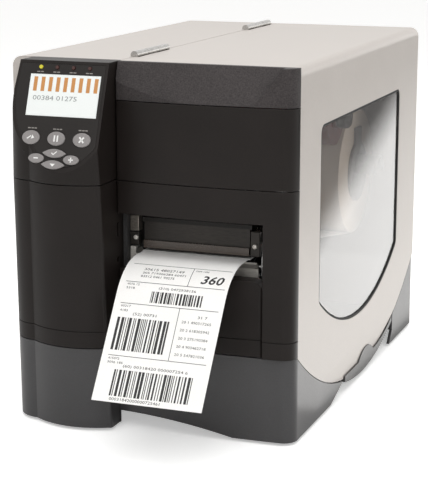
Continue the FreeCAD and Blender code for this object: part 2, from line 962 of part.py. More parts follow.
def make_printed_label():
    hang = math.radians(label_hang)

    def track(offset):
        radius = label_bend + offset
        centre = V(label_left, label_flat_end, print_level - label_bend)
        top = centre + V(0, 0, radius)
        middle = centre + V(0, -math.sin(hang / 2.0), math.cos(hang / 2.0)) * radius
        end = centre + V(0, -math.sin(hang), math.cos(hang)) * radius
        tip = end + V(0, -math.cos(hang), -math.sin(hang)) * label_straight
        return V(label_left, label_start, top.z), top, middle, end, tip

    outer = track(paper / 2.0)
    inner = track(-paper / 2.0)
    edges = [
        Part.makeLine(outer[0], outer[1]),
        Part.Arc(outer[1], outer[2], outer[3]).toShape(),
        Part.makeLine(outer[3], outer[4]),
        Part.makeLine(outer[4], inner[4]),
        Part.makeLine(inner[4], inner[3]),
        Part.Arc(inner[3], inner[2], inner[1]).toShape(),
        Part.makeLine(inner[1], inner[0]),
        Part.makeLine(inner[0], outer[0]),
    ]
    return Part.Face(Part.Wire(edges)).extrude(V(label_width, 0, 0))


def make_label_web():
    dy = web_entry_y - roll_y
    dz = web_entry_z - roll_z
    away = math.hypot(dy, dz)
    clear = roll_radius + slip + paper / 2.0
    angle = math.atan2(dz, dy) + math.acos(clear / away)
    touch = (roll_y + clear * math.cos(angle), roll_z + clear * math.sin(angle))
    points = [(label_start + slip, print_level), (platen_y + platen_radius, print_level),
              (web_entry_y, web_entry_z), touch]
    return strip_solid(points, label_left - liner_side, label_right + liner_side)


def make_label_roll():
    x0 = label_left - liner_side
    x1 = label_right + liner_side
    return trimmed(rod_x(x0, x1, roll_y, roll_z, roll_radius),
                   [rod_x(x0, x1, roll_y, roll_z, core_radius + core_wall)])


def make_label_core():
    x0 = label_left - liner_side
    x1 = label_right + liner_side
    return trimmed(rod_x(x0, x1, roll_y, roll_z, core_radius + core_wall),
                   [rod_x(x0, x1, roll_y, roll_z, core_radius)])


def make_roll_hanger():
    radius = core_radius - hanger_gap
    x1 = frame_right + hanger_length
    bar = rod_x(frame_right, x1, roll_y, roll_z, radius)
    bar = trimmed(bar, [rod_x(frame_right + wall, x1, roll_y, roll_z, radius - wall)])
    upper = box(-far, far, -far, far, roll_z, far)
    plate = rod_x(frame_right, frame_right + wall, roll_y, roll_z, radius + wall)
    return fused([bar.common(upper), plate])


def make_roll_guide():
    x0 = label_right + liner_side + slip
    disc = rod_x(x0, x0 + guide_thick, roll_y, roll_z, guide_radius)
    tab = box(x0, x0 + guide_thick, roll_y - guide_radius / 3.0, roll_y + guide_radius / 3.0,
              roll_z, roll_z + guide_radius * 1.5)
    radius = core_radius - hanger_gap
    ring = trimmed(rod_x(x0, x0 + guide_thick, roll_y, roll_z, radius + slip),
                   [rod_x(x0, x0 + guide_thick, roll_y, roll_z, radius - wall - slip)])
    upper = box(-far, far, -far, far, roll_z - slip, far)
    return trimmed(fused([disc, tab]), [ring.common(upper)])


# Print mechanism


def make_mechanism_frame():
    floor = box(frame_right, mech_right, mech_front, mech_rear, mech_floor, mech_floor + mech_wall)
    lip = box(frame_right, mech_right, mech_front, mech_front + wall, mech_floor, platen_z - platen_radius)
    side = [(mech_front, mech_floor), (mech_rear, mech_floor), (mech_rear, head_pivot_z + 8.0),
            (lever_y + 16.0, lever_z + 10.0), (lever_y - 12.0, lever_z + 10.0),
            (lever_y - 18.0, lever_z - 16.0), (mech_front + wall, head_top - 10.0), (mech_front, platen_z + 4.0)]
    upright = prism_x(side, mech_right - mech_wall, mech_right)
    holes = [rod_x(mech_right - 2.0 * mech_wall, far, platen_y, platen_z, shaft_radius + bush_wall + running_fit),
             rod_x(mech_right - 2.0 * mech_wall, far, head_pivot_y, head_pivot_z, shaft_radius + running_fit),
             rod_x(mech_right - 2.0 * mech_wall, far, lever_y, lever_z, lever_radius + running_fit)]
    slots = [box(x, x + 16.0, mech_front + 40.0, mech_rear - 12.0, 0, platen_z - platen_radius)
             for x in (frame_right + 20.0, frame_right + 88.0)]
    return trimmed(fused([floor, lip, upright]), holes + slots)


def make_tear_bar():
    top = print_level - paper / 2.0 - slip * 2.0
    y = mech_front
    points = [(y, mech_floor + mech_wall), (y, platen_z + 4.0), (y - 6.0, top), (y - 7.5, top - 1.2),
              (y - 2.0, platen_z + 2.6), (y - 2.0, mech_floor + mech_wall)]
    return prism_x(points, frame_right + 2.0 * wall, mech_right - 2.0 * wall)


def make_platen_bushes():
    bore = shaft_radius + running_fit
    bushes = []
    for x0, x1, flange in ((frame_left, frame_right, frame_right),
                           (mech_right - mech_wall, mech_right, mech_right)):
        sleeve = rod_x(x0, x1 + bush_flange, platen_y, platen_z, shaft_radius + bush_wall)
        collar = rod_x(flange, flange + bush_flange, platen_y, platen_z, shaft_radius + bush_wall + 1.5)
        bushes.append(trimmed(fused([sleeve, collar]),
                              [rod_x(x0 - 1, x1 + far, platen_y, platen_z, bore)]))
    return Part.makeCompound(bushes)


def make_platen_shaft():
    return rod_x(pulley_left - 2.0, mech_right + bush_flange + 1.5, platen_y, platen_z, shaft_radius)


def make_platen_rubber():
    sleeve = rod_x(label_left - wall, label_right + wall, platen_y, platen_z, platen_radius)
    return trimmed(sleeve, [rod_x(-far, far, platen_y, platen_z, shaft_radius)])


def make_head_carrier():
    x0 = label_left - 2.0
    x1 = label_right + 2.0
    front = platen_y - head_depth / 3.0
    top = head_top + head_plate
    tube = rod_x(x0, x1, head_pivot_y, head_pivot_z, shaft_radius + wall)
    plate = box(x0, x1, front, head_pivot_y, head_top, top)
    ribs = [prism_x([(front, top), (head_pivot_y, top), (head_pivot_y, top + wall)], x, x + wall)
            for x in (x0, x1 - wall)]
    carrier = fused([tube, plate] + ribs)
    return trimmed(carrier, [rod_x(-far, far, head_pivot_y, head_pivot_z, shaft_radius + running_fit)])


def make_printhead():
    low = print_level + paper / 2.0 + head_gap
    front = platen_y - head_depth / 3.0
    rear = front + head_depth
    points = [(front, head_top), (rear, head_top), (rear, low + 9.0), (platen_y + 8.0, low + 1.0),
              (platen_y, low), (platen_y - 4.0, low + 1.0), (front, low + 8.0)]
    block = prism_x(points, label_left, label_right)
    fins = [box(label_left - 1, label_right + 1, y, y + 2.0, head_top - 10.0, head_top - 2.0)
            for y in (platen_y + 4.0, platen_y + 10.0, platen_y + 16.0)]
    return trimmed(block, fins)


def make_head_strip():
    low = print_level + paper / 2.0 + head_gap
    front = platen_y - head_depth / 3.0
    return box(label_left, label_right, front - strip_thick, front, low + strip_drop, low + strip_drop + strip_height)


def make_head_pivot():
    return rod_x(frame_right, mech_right, head_pivot_y, head_pivot_z, shaft_radius)


def make_head_lever():
    shaft = rod_x(frame_left - wall, mech_right + wall, lever_y, lever_z, lever_radius)
    x1 = mech_right - mech_wall - wall
    x0 = x1 - lever_width
    hub = rod_x(x0, x1, lever_y, lever_z, lever_radius + wall)
    arm = prism_x([(lever_y, lever_z - lever_radius), (lever_y, lever_z + lever_radius),
                   (lever_y - lever_reach, lever_z + 9.0), (lever_y - lever_reach, lever_z + 3.0)], x0, x1)
    return fused([shaft, hub, round_edges(arm, 2.0, V(1, 0, 0), lambda m: m.y < lever_y - wall)])


def make_media_sensor():
    x0 = (label_left + label_right) / 2.0 - sensor_width / 2.0
    y0 = mech_rear - 2.0 * sensor_depth
    z1 = web_entry_z - wall
    body = box(x0, x0 + sensor_width, y0, y0 + sensor_depth, mech_floor + mech_wall, z1)
    return round_edges(body, 2.0, V(1, 0, 0), lambda m: m.z > z1 - slip)


# Ribbon spindles


def make_spindle(y, z):
    x0 = frame_right + slip
    parts = [rod_x(frame_left - wall, x0, y, z, spindle_pin),
             rod_x(x0, x0 + spindle_flange_thick, y, z, spindle_flange),
             rod_x(x0, x0 + spindle_reach, y, z, spindle_radius)]
    spindle = fused(parts)
    nose = [e for e in spindle.Edges if isinstance(e.Curve, Part.Circle)
            and e.CenterOfMass.x > x0 + spindle_reach - slip]
    return spindle.makeChamfer(2.0, nose)


def make_ribbon_roll(y, z, radius):
    x1 = ribbon_left + ribbon_width
    film = rod_x(ribbon_left, x1, y, z, radius)
    core = rod_x(ribbon_left - wall, x1 + wall, y, z, spindle_radius + ribbon_core)
    return trimmed(fused([film, core]), [rod_x(-far, far, y, z, spindle_radius)])


# Drive


def make_stepper_motor():
    half = motor_size / 2.0
    x1 = frame_left - motor_post
    body = box(motor_left, x1, motor_y - half, motor_y + half, motor_z - half, motor_z + half)
    body = round_edges(body, 4.0, V(1, 0, 0))
    posts = [rod_x(x1 - 1.0, frame_left, motor_y + a * (half - 7.0), motor_z + b * (half - 7.0),
                   motor_post_radius) for a in (-1, 1) for b in (-1, 1)]
    return fused([body] + posts)


def make_pulley(y, z, radius, teeth, bore):
    disc = rod_x(pulley_left, pulley_right, y, z, radius)
    grooves = []
    for i in range(teeth):
        angle = 2.0 * math.pi * i / teeth
        grooves.append(rod_x(pulley_left, pulley_right, y + radius * math.cos(angle),
                             z + radius * math.sin(angle), tooth_radius))
    return trimmed(disc, grooves + [rod_x(-far, far, y, z, bore)] if bore else grooves)


def make_motor_pulley():
    wheel = make_pulley(motor_y, motor_z, motor_pulley_radius, motor_teeth, 0.0)
    return fused([wheel, rod_x(pulley_right, motor_left - slip, motor_y, motor_z, motor_shaft)])


def make_platen_pulley():
    return make_pulley(platen_y, platen_z, platen_pulley_radius, platen_teeth, shaft_radius)


def belt_loop(grow, x0, x1):
    a = V(x0, platen_y, platen_z)
    b = V(x0, motor_y, motor_z)
    ra = platen_pulley_radius + grow
    rb = motor_pulley_radius + grow
    run = b - a
    base = math.atan2(run.z, run.y)
    open_angle = math.acos((ra - rb) / run.Length)

    def at(centre, radius, angle):
        return centre + V(0, math.cos(angle), math.sin(angle)) * radius

    a1 = at(a, ra, base + open_angle)
    a2 = at(a, ra, base - open_angle)
    b1 = at(b, rb, base + open_angle)
    b2 = at(b, rb, base - open_angle)
    edges = [Part.Arc(a1, at(a, ra, base + math.pi), a2).toShape(), Part.makeLine(a2, b2),
             Part.Arc(b2, at(b, rb, base), b1).toShape(), Part.makeLine(b1, a1)]
    return Part.Face(Part.Wire(edges)).extrude(V(x1 - x0, 0, 0))


def make_timing_belt():
    x0 = pulley_left + (pulley_width - belt_width) / 2.0
    return trimmed(belt_loop(belt_gap + belt_thick, x0, x0 + belt_width), [belt_loop(belt_gap, x0, x0 + belt_width)])


# Electronics and rear connectors


def make_main_board():
    x1 = frame_left - motor_post
    plate = box(x1 - board, x1, board_front, board_rear, board_low, board_high)
    posts = [rod_x(x1, frame_left, y, z, motor_post_radius) for y in (board_front + 9.0, board_rear - 9.0)
             for z in (board_low + 9.0, board_high - 9.0)]
    chips = [box(x1 - board - 2.5, x1 - board, y, y + 26.0, z, z + 26.0)
             for y, z in ((board_front + 40.0, board_low + 50.0), (board_front + 120.0, board_low + 140.0))]
    return fused([plate] + posts + chips)


def make_power_supply():
    x0 = -half_width + 2.0 * sill_inset
    y1 = rear_inner - wall
    case = box(x0, x0 + supply_box_width, y1 - supply_box_depth, y1, pan_top, pan_top + supply_box_height)
    holes = [box(x0 + 8.0 + i * 9.0, x0 + 12.0 + i * 9.0, y1 - supply_box_depth + 12.0, y1 - 12.0,
                 pan_top + supply_box_height - 2.0, far) for i in range(6)]
    return trimmed(round_edges(case, 2.0, V(0, 0, 1)), holes)


def make_power_inlet():
    """Power entry module: appliance inlet and the well of the rocker switch in one moulding."""
    front = rear_outer + inlet_flange_thick
    low = inlet_z - inlet_height / 2.0 - inlet_flange
    high = switch_z + switch_height / 2.0 + switch_wall + inlet_flange
    rim = port_slab(inlet_x, (low + high) / 2.0, inlet_width + 2.0 * inlet_flange, high - low, rear_outer, front)
    rim = round_edges(rim, inlet_flange / 2.0, V(0, 1, 0))
    body = port_slab(inlet_x, inlet_z, inlet_width, inlet_height, rear_outer - inlet_depth, rear_outer)
    socket = port_slab(inlet_x, inlet_z, inlet_width - 2.0 * inlet_wall, inlet_height - 2.0 * inlet_wall,
                       front - inlet_socket, front)
    pins = [port_slab(inlet_x + i * inlet_pin_pitch, inlet_z + (1 if i == 0 else -1) * inlet_pin_step,
                      inlet_pin_width, inlet_pin_height, front - inlet_socket,
                      front - inlet_socket + inlet_pin_length) for i in (-1, 0, 1)]
    width = switch_width + 2.0 * switch_wall
    height = switch_height + 2.0 * switch_wall
    housing = port_slab(inlet_x, switch_z, width, height, rear_outer - switch_depth, rear_outer)
    well = port_slab(inlet_x, switch_z, switch_width + 2.0 * slip, switch_height + 2.0 * slip,
                     rear_outer - switch_depth + switch_wall, far)
    pivots = rod_x(inlet_x - width, inlet_x + width, switch_pivot_y, switch_z, switch_pin + running_fit)
    return fused([trimmed(fused([body, rim, housing]), [socket, well, pivots])] + pins)


def make_power_switch():
    half = switch_height / 2.0 - switch_end_gap
    points = [(switch_pivot_y - switch_body, switch_z - half + switch_body),
              (switch_pivot_y - switch_body, switch_z + half - switch_body),
              (switch_pivot_y + switch_rise + 1.0, switch_z + half), (switch_pivot_y + switch_rise, switch_z),
              (switch_pivot_y + switch_rise + 1.0, switch_z - half)]
    rocker = prism_x(points, inlet_x - switch_width / 2.0, inlet_x + switch_width / 2.0)
    reach = switch_width / 2.0 + switch_wall
    switch = fused([rocker, rod_x(inlet_x - reach, inlet_x + reach, switch_pivot_y, switch_z, switch_pin)])
    switch.rotate(V(inlet_x, switch_pivot_y, switch_z), V(1, 0, 0), -switch_tilt)
    return switch


def make_port(z, width, height):
    body = port_slab(port_x, z, width, height, rear_outer - port_depth, rear_outer + rear_lip)
    flange = port_slab(port_x, z, width + 4.0 * port_flange, height + 2.0 * port_flange, rear_outer,
                       rear_outer + port_flange)
    well = port_slab(port_x, z, width - 2.0 * socket_wall, height - 2.0 * socket_wall,
                     rear_outer + rear_lip - port_depth / 2.0, far)
    return trimmed(fused([body, flange]), [well])


def make_data_ports():
    return Part.makeCompound([make_port(parallel_z, parallel_width, parallel_height),
                              make_port(serial_z, serial_width, serial_height),
                              make_port(usb_z, usb_width, usb_height)])


def make_option_slot_cover():
    plate = port_slab(port_x - 12.0, slot_cover_z, slot_cover_width, slot_cover_height, rear_outer,
                      rear_outer + slot_cover_thick)
    return round_edges(plate, 3.0, V(0, 1, 0))


def make_rear_screws():
    x = side_inner - seam - 4.0 * screw_head
    high = top_under - 4.0 * screw_head
    screws = []
    for sx, z in ((-x, high), (x, high), (-x, control_seam), (x, control_seam), (0.0, high), (0.0, base_top + x / 3.0)):
        screws.append(rod_y(rear_outer, rear_outer + screw_rise, sx, z, screw_head))
    return Part.makeCompound([s.makeFillet(screw_rise / 2.0, [e for e in s.Edges if isinstance(e.Curve, Part.Circle)
                              and e.CenterOfMass.y > rear_outer + slip]) for s in screws])


def make_parts():
    parts = {
        "base_tray": make_base_tray(),
        "rubber_feet": make_rubber_feet(),
        "centre_frame": make_centre_frame(),
        "electronics_cover": make_electronics_cover(),
        "rear_panel": make_rear_panel(),
        "rear_screws": make_rear_screws(),
        "column_cover": make_column_cover(),
        "control_housing": make_control_housing(),
        "keypad_overlay": make_keypad_overlay(),
        "display_module": make_display(),
        "status_lamps": make_status_lamps(),
        "control_board": make_control_board(),
        "lower_front_cover": make_lower_front_cover(),
        "tear_bar": make_tear_bar(),
        "mechanism_frame": make_mechanism_frame(),
        "platen_bushes": make_platen_bushes(),
        "platen_shaft": make_platen_shaft(),
        "platen_rubber": make_platen_rubber(),
        "platen_pulley": make_platen_pulley(),
        "motor_pulley": make_motor_pulley(),
        "stepper_motor": make_stepper_motor(),
        "timing_belt": make_timing_belt(),
        "head_carrier": make_head_carrier(),
        "printhead": make_printhead(),
        "printhead_strip": make_head_strip(),
        "head_pivot": make_head_pivot(),
        "head_lever": make_head_lever(),
        "media_sensor": make_media_sensor(),
        "ribbon_supply_spindle": make_spindle(supply_y, supply_z),
        "ribbon_supply_roll": make_ribbon_roll(supply_y, supply_z, supply_radius),
        "ribbon_takeup_spindle": make_spindle(takeup_y, takeup_z),
        "ribbon_takeup_roll": make_ribbon_roll(takeup_y, takeup_z, takeup_radius),
        "label_roll": make_label_roll(),
        "label_core": make_label_core(),
        "roll_hanger": make_roll_hanger(),
        "roll_guide": make_roll_guide(),
        "label_web": make_label_web(),
        "printed_label": make_printed_label(),
        "main_board": make_main_board(),
        "power_supply": make_power_supply(),
        "power_inlet": make_power_inlet(),
        "power_switch": make_power_switch(),
        "data_ports": make_data_ports(),
        "option_slot_cover": make_option_slot_cover(),
        "door_shell": make_door_shell(),
        "door_window": make_door_window(),
        "window_clips": make_window_clips(),
        "door_visor": make_door_visor(),
        "door_front_panel": make_door_front_panel(),
        "door_exit_frame": make_door_exit_frame(),
        "door_grip": make_door_grip(),
        "hinge_body_leaves": make_hinge_body_leaves(),
        "hinge_door_leaves": make_hinge_door_leaves(),
    }
    parts.update(make_buttons())
    return parts


def save(parts):
    os.makedirs("parts", exist_ok=True)
    tip = parts["printed_label"].optimalBoundingBox().YMin
    for name, shape in parts.items():
        moved = shape.copy()
        moved.translate(V(0, -(tip + case_depth) / 2.0, 0))
        moved.exportStep("parts/" + name + ".step")


save(make_parts())
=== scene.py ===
import math
import random

import bmesh
import bpy
from mathutils import Euler, Matrix, Vector


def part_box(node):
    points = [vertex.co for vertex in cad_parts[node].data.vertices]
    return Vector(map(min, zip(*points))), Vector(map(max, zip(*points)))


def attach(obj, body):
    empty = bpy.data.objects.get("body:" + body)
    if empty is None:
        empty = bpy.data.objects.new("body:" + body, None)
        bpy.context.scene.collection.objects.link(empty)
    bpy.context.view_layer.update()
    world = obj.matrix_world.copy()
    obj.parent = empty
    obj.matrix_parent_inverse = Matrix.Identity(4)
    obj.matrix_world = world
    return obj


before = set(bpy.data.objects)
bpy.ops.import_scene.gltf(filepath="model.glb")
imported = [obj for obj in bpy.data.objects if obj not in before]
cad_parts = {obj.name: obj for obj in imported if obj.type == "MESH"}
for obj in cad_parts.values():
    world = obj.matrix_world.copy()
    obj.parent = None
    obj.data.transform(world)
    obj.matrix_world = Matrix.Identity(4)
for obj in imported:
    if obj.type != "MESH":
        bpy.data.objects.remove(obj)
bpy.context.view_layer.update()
scene = bpy.context.scene
MM = 0.001

# Places taken over from the solids, metres
DOOR_PLANE_Y = -0.167949
CASE_TOP = 0.338
PANEL_TOP_FRONT = 0.014
PANEL_LEAN = math.radians(20.2)
ROLL_AXIS = (0.0, 0.190051, 0.188)
SUPPLY_AXIS = (0.0, 0.112051, 0.258)
TAKEUP_AXIS = (0.0, -0.037949, 0.252)

# Camera of the photograph
camera_data = bpy.data.cameras.new("photo_camera")
camera_data.lens = 117.36
camera_data.sensor_width = 36.0
camera_data.clip_end = 50.0
camera = bpy.data.objects.new("photo_camera", camera_data)
camera.location = (0.5414, -1.43165, 0.4864)
camera.rotation_euler = Euler((math.radians(77.363), 0.0, math.radians(20.754)))
scene.collection.objects.link(camera)
scene.camera = camera
scene.view_settings.view_transform = "Standard"


def linear(code):
    """An sRGB hex colour as linear RGBA."""
    values = [int(code[i:i + 2], 16) / 255.0 for i in (1, 3, 5)]
    return [v / 12.92 if v <= 0.04045 else ((v + 0.055) / 1.055) ** 2.4 for v in values] + [1.0]


def add(tree, kind, settings=None, links=None):
    """Adds one node, with its settings and what feeds its sockets."""
    node = tree.nodes.new(kind)
    for key, value in (settings or {}).items():
        if isinstance(key, str) and hasattr(node, key):
            setattr(node, key, value)
        else:
            node.inputs[key].default_value = value
    for key, source in (links or {}).items():
        tree.links.new(source, node.inputs[key])
    return node


def blank(name):
    """A new material with an empty tree and its output."""
    material = bpy.data.materials.new(name)
    material.use_nodes = True
    tree = material.node_tree
    tree.nodes.clear()
    return material, tree, add(tree, "ShaderNodeOutputMaterial")


def surface(name, light, dark, grain, rough, bump, stretch=(1.0, 1.0, 1.0), spread=0.06, cloud=40.0, edge=0.0,
            **shader):
    """A surface with a fine grain of a size in mm, faint clouding, bump and edge rounding in mm."""
    material, tree, out = blank(name)
    place = add(tree, "ShaderNodeTexCoord").outputs["Object"]
    fine = add(tree, "ShaderNodeMapping", {"Scale": [s / (grain * MM) for s in stretch]}, {"Vector": place})
    grit = add(tree, "ShaderNodeTexNoise", {"Scale": 1.0, "Detail": 3.0}, {"Vector": fine.outputs[0]})
    haze = add(tree, "ShaderNodeTexNoise", {"Scale": 1.0 / (cloud * MM), "Detail": 2.0}, {"Vector": place})
    blend = add(tree, "ShaderNodeMath", {"operation": "MULTIPLY_ADD", 1: 0.7},
                {0: grit.outputs[0], 2: add(tree, "ShaderNodeMath", {"operation": "MULTIPLY", 1: 0.3},
                                            {0: haze.outputs[0]}).outputs[0]})
    colour = add(tree, "ShaderNodeValToRGB", None, {"Fac": blend.outputs[0]})
    colour.color_ramp.elements[0].position = 0.35
    colour.color_ramp.elements[0].color = linear(dark)
    colour.color_ramp.elements[1].position = 0.65
    colour.color_ramp.elements[1].color = linear(light)
    gloss = add(tree, "ShaderNodeMapRange", {"From Min": 0.3, "From Max": 0.7, "To Min": rough - spread,
                                             "To Max": rough + spread}, {"Value": blend.outputs[0]})
    relief = add(tree, "ShaderNodeBump", {"Strength": 0.6, "Distance": bump * MM},
                 {"Height": grit.outputs[0]})
    if edge:
        soft = add(tree, "ShaderNodeBevel", {"samples": 6, "Radius": edge * MM})
        tree.links.new(soft.outputs[0], relief.inputs["Normal"])
    skin = add(tree, "ShaderNodeBsdfPrincipled", shader, {"Base Color": colour.outputs[0],
                                                          "Roughness": gloss.outputs[0],
                                                          "Normal": relief.outputs[0]})
    tree.links.new(skin.outputs[0], out.inputs["Surface"])
    return material


def wound(name, axis, light, dark, pitch, rough, **shader):
    """A wound roll: its ends show rings a pitch apart in mm, its outside stays plain."""
    material, tree, out = blank(name)
    place = add(tree, "ShaderNodeTexCoord").outputs["Object"]
    arm = add(tree, "ShaderNodeVectorMath", {"operation": "SUBTRACT", 1: axis}, {0: place})
    flat = add(tree, "ShaderNodeVectorMath", {"operation": "MULTIPLY", 1: (0.0, 1.0, 1.0)},
               {0: arm.outputs[0]})
    reach = add(tree, "ShaderNodeVectorMath", {"operation": "LENGTH"}, {0: flat.outputs[0]})
    turns = add(tree, "ShaderNodeMath", {"operation": "MULTIPLY", 1: 1.0 / (pitch * MM)},
                {0: reach.outputs["Value"]})
    rings = add(tree, "ShaderNodeTexNoise", {"noise_dimensions": "1D", "Scale": 1.0, "Detail": 3.0},
                {"W": turns.outputs[0]})
    colour = add(tree, "ShaderNodeValToRGB", None, {"Fac": rings.outputs[0]})
    colour.color_ramp.elements[0].position = 0.3
    colour.color_ramp.elements[0].color = linear(dark)
    colour.color_ramp.elements[1].position = 0.7
    colour.color_ramp.elements[1].color = linear(light)
    relief = add(tree, "ShaderNodeBump", {"Strength": 0.4, "Distance": 0.15 * MM},
                 {"Height": rings.outputs[0]})
    skin = add(tree, "ShaderNodeBsdfPrincipled", {**shader, "Roughness": rough},
               {"Base Color": colour.outputs[0], "Normal": relief.outputs[0]})
    tree.links.new(skin.outputs[0], out.inputs["Surface"])
    return material


# How much plain mouldings mirror: a matt mould dulls the surface, a polished one less
DULL = {"IOR": 1.48, "Specular IOR Level": 0.22}
SATIN = {"IOR": 1.5, "Specular IOR Level": 0.4}

# Powder coat on folded steel: warm light grey with a very fine orange peel
case_coat = surface("powder_coated_steel", "#c6bfb9", "#beb7b1", 1.4, 0.42, 0.02, IOR=1.5)
# The rear panel has the same coat, with painted shade making it darker where it sits back
rear_painted_shade_coat = surface("powder_coated_steel_painted_rear_shade", "#b3ada7", "#a8a29c", 1.4, 0.46, 0.02, IOR=1.5)
# Black ABS from a spark-eroded mould: fine matt texture, soft highlights
black_abs = surface("textured_black_abs", "#211c1a", "#181412", 0.7, 0.42, 0.03, edge=0.9, **DULL)
# The visor's mould was etched deeper, so its grain shows and it looks greyer
visor_abs = surface("etched_grey_abs", "#454040", "#2c2929", 1.2, 0.5, 0.12, edge=0.9, **DULL)
# The base is a satin dark grey moulding with long soft highlights
base_abs = surface("satin_dark_abs", "#434243", "#3b3a3b", 0.9, 0.34, 0.015, **SATIN)
# Printed polyester film over the keypad, back-printed black
keypad_film = surface("printed_polyester_film", "#292624", "#221f1e", 0.5, 0.36, 0.008, **DULL)
# Moulded silicone-feel keys
key_grey = surface("moulded_grey_key", "#8f8b8a", "#827e7d", 0.6, 0.48, 0.01, IOR=1.45)
# Ground black rubber
black_rubber = surface("ground_black_rubber", "#262626", "#191919", 0.8, 0.75, 0.04, IOR=1.52)
# Painted steel chassis of the media bay, dark in the photograph
bay_paint = surface("dark_painted_chassis", "#3b3a3a", "#302f2f", 1.6, 0.5, 0.03, **DULL)
# Milled aluminium with cutter marks along the feed
milled_alloy = surface("milled_aluminium", "#b4b3b2", "#8f8e8d", 0.5, 0.34, 0.015, (0.08, 1.0, 1.0),
                       Metallic=1.0)
# Turned or ground bright steel
bright_steel = surface("ground_bright_steel", "#c9c7c4", "#a5a3a0", 0.35, 0.24, 0.008, (1.0, 0.05, 1.0),
                       Metallic=1.0)
# Satin nickel of the tear bar and fittings at the exit, soft enough to stay bright in the dark
satin_nickel = surface("satin_nickel_plate", "#d9d5cf", "#bdb8b1", 0.4, 0.36, 0.01, (0.06, 1.0, 1.0),
                       Metallic=0.55)
# Natural acetal bearings and window clips
acetal = surface("natural_acetal", "#e2ded6", "#d5d0c6", 1.0, 0.38, 0.01, IOR=1.48)
# Zinc-plated steel of motor and power supply
plated_steel = surface("zinc_plated_steel", "#8a8a88", "#6d6d6b", 6.0, 0.38, 0.02, Metallic=0.9)
# Black anodised aluminium of the printhead's heat sink
anodised_black = surface("black_anodised_aluminium", "#37322e", "#262320", 0.5, 0.36, 0.01, (0.08, 1.0, 1.0),
                         Metallic=0.5)
# Glazed ceramic heater strip, brown
heater_glaze = surface("glazed_brown_ceramic", "#4d4037", "#3d3229", 0.8, 0.25, 0.006, IOR=1.6)
# Dark moulded carrier and sensor
carrier_abs = surface("moulded_dark_carrier", "#2b2826", "#211f1d", 0.9, 0.42, 0.02, **DULL)
# Grey lever moulding
lever_abs = surface("moulded_grey_lever", "#7f7d7b", "#71706e", 0.9, 0.45, 0.02, IOR=1.48)
# Coated label stock: faint fibres, nearly white
label_stock = surface("coated_label_paper", "#fbfaf8", "#f5f3f0", 0.9, 0.55, 0.008, IOR=1.45)
# Plain grey-brown card tube
card_tube = surface("spiral_card_tube", "#a98f6c", "#957c5a", 1.8, 0.8, 0.05, (0.3, 1.0, 1.0))
# Solder-masked circuit board
board_mask = surface("solder_masked_board", "#2f6b45", "#1d4a30", 3.0, 0.32, 0.03, (1.0, 0.12, 1.0), IOR=1.55)
# Glossy black inlet and switch
inlet_black = surface("gloss_black_moulding", "#1c1c1c", "#131313", 0.8, 0.22, 0.006, IOR=1.5)
# Tin-plated connector shells
tin_shell = surface("tin_plated_shell", "#a9a8a4", "#8f8e8a", 0.8, 0.3, 0.01, (1.0, 1.0, 0.1), Metallic=1.0)
# Door grip: dark satin moulding
grip_abs = surface("satin_grip_abs", "#4a4949", "#403f3f", 0.9, 0.4, 0.02, IOR=1.48)
# Thermal print: matt black on the paper
print_black = surface("thermal_print_black", "#262425", "#1b191a", 0.5, 0.6, 0.004)
# Pad print on keys and film
mark_white = surface("pad_printed_white", "#efeeec", "#e2e1df", 0.4, 0.5, 0.004)
mark_grey = surface("pad_printed_grey", "#8d8985", "#7f7b77", 0.4, 0.5, 0.004)
# Display segments: amber bars and grey dots
amber_segment = surface("amber_display_segment", "#c98f55", "#bd8247", 0.5, 0.35, 0.004)
grey_segment = surface("grey_display_segment", "#8f9392", "#858988", 0.4, 0.35, 0.004)
# Black sponge gasket round the window
gasket_foam = surface("black_sponge_gasket", "#1f1e1d", "#121111", 0.7, 0.85, 0.08)
# Dark plated brackets beside the head
bracket_zinc = surface("dull_plated_bracket", "#8d867e", "#6c665f", 2.0, 0.34, 0.02, Metallic=0.8)
# Wound stock: paper edges cream, ribbon film reddish brown
label_wound = wound("wound_label_stock", ROLL_AXIS, "#efe3d3", "#dccbb6", 0.9, 0.6, IOR=1.45)
supply_film = wound("wound_ribbon_film", SUPPLY_AXIS, "#742b27", "#4f1d1a", 0.8, 0.3, IOR=1.6)
takeup_film = wound("wound_used_ribbon_film", TAKEUP_AXIS, "#642824", "#421a18", 0.8, 0.32, IOR=1.6)


def display_glass():
    """Pale lit display: a fine cell grid on a grey-green white, glowing a little."""
    material, tree, out = blank("lit_display_glass")
    place = add(tree, "ShaderNodeTexCoord").outputs["Object"]
    cells = add(tree, "ShaderNodeTexChecker", {"Color1": linear("#eef1ef"), "Color2": linear("#e7ebe9"),
                                               "Scale": 1.0 / (0.6 * MM)}, {"Vector": place})
    skin = add(tree, "ShaderNodeBsdfPrincipled", {"Roughness": 0.18, "IOR": 1.5, "Emission Strength": 0.03},
               {"Base Color": cells.outputs[0], "Emission Color": cells.outputs[0]})
    tree.links.new(skin.outputs[0], out.inputs["Surface"])
    return material


def lamp_lenses():
    """Tinted lenses: the first lamp is lit yellow-green, the other three are dim red."""
    material, tree, out = blank("tinted_lamp_lens")
    place = add(tree, "ShaderNodeTexCoord").outputs["Object"]
    along = add(tree, "ShaderNodeSeparateXYZ", None, {0: place})
    first = add(tree, "ShaderNodeMath", {"operation": "LESS_THAN", 1: -0.088}, {0: along.outputs["X"]})
    tint = add(tree, "ShaderNodeValToRGB", None, {"Fac": first.outputs[0]})
    tint.color_ramp.elements[0].color = linear("#34150f")
    tint.color_ramp.elements[1].color = linear("#b9b02c")
    skin = add(tree, "ShaderNodeBsdfPrincipled", {"Roughness": 0.15, "IOR": 1.55, "Emission Strength": 0.3},
               {"Base Color": tint.outputs[0], "Emission Color": tint.outputs[0]})
    tree.links.new(skin.outputs[0], out.inputs["Surface"])
    return material


